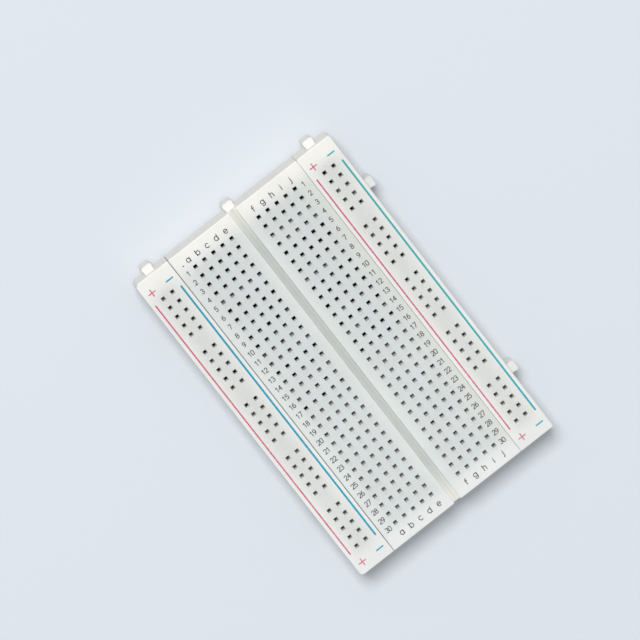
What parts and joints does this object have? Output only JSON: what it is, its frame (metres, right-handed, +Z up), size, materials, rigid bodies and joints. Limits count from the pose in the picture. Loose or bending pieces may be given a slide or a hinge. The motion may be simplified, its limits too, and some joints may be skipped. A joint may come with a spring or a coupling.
{
  "type": "solderless breadboard",
  "caption": "Half-size solderless breadboard: a white hole-grid block with a centre channel between two slide-on power rails, spring contact strips inside and foam adhesive backing.",
  "frame": {"origin": "middle of the hole grid, on the underside of the release liner that the board rests on", "axes": "+X across the board from column a to column j, +Y along the board towards row 1, +Z up out of the hole face"},
  "size_m": [0.0563, 0.0852, 0.0096],
  "materials": {
    "housing_plastic": "satin moulded ABS",
    "clip_metal": "nickel-plated spring bronze",
    "foam": "closed-cell foam tape",
    "liner_paper": "waxed release paper",
    "dark_ink": "printed ink",
    "red_ink": "printed ink",
    "blue_ink": "printed ink"
  },
  "bodies": {
    "left_rail": {"left_rail_housing": "housing_plastic", "left_positive_bus": "clip_metal", "left_negative_bus": "clip_metal", "left_foam_pad": "foam", "left_release_liner": "liner_paper"},
    "main_block": {"terminal_housing": "housing_plastic", "row_01_clips": "clip_metal", "row_02_clips": "clip_metal", "row_03_clips": "clip_metal", "row_04_clips": "clip_metal", "row_05_clips": "clip_metal", "row_06_clips": "clip_metal", "row_07_clips": "clip_metal", "row_08_clips": "clip_metal", "row_09_clips": "clip_metal", "row_10_clips": "clip_metal", "row_11_clips": "clip_metal", "row_12_clips": "clip_metal", "row_13_clips": "clip_metal", "row_14_clips": "clip_metal", "row_15_clips": "clip_metal", "row_16_clips": "clip_metal", "row_17_clips": "clip_metal", "row_18_clips": "clip_metal", "row_19_clips": "clip_metal", "row_20_clips": "clip_metal", "row_21_clips": "clip_metal", "row_22_clips": "clip_metal", "row_23_clips": "clip_metal", "row_24_clips": "clip_metal", "row_25_clips": "clip_metal", "row_26_clips": "clip_metal", "row_27_clips": "clip_metal", "row_28_clips": "clip_metal", "row_29_clips": "clip_metal", "row_30_clips": "clip_metal", "main_foam_pad": "foam", "main_release_liner": "liner_paper"},
    "right_rail": {"right_rail_housing": "housing_plastic", "right_positive_bus": "clip_metal", "right_negative_bus": "clip_metal", "right_foam_pad": "foam", "right_release_liner": "liner_paper"}
  },
  "joints": [
    {"name": "main_block_lift", "type": "slide", "parent": "left_rail", "child": "main_block", "axis": [0, 0, 1], "range_m": [0, 0.01]},
    {"name": "right_rail_lift", "type": "slide", "parent": "main_block", "child": "right_rail", "axis": [0, 0, 1], "range_m": [0, 0.01]}
  ]
}
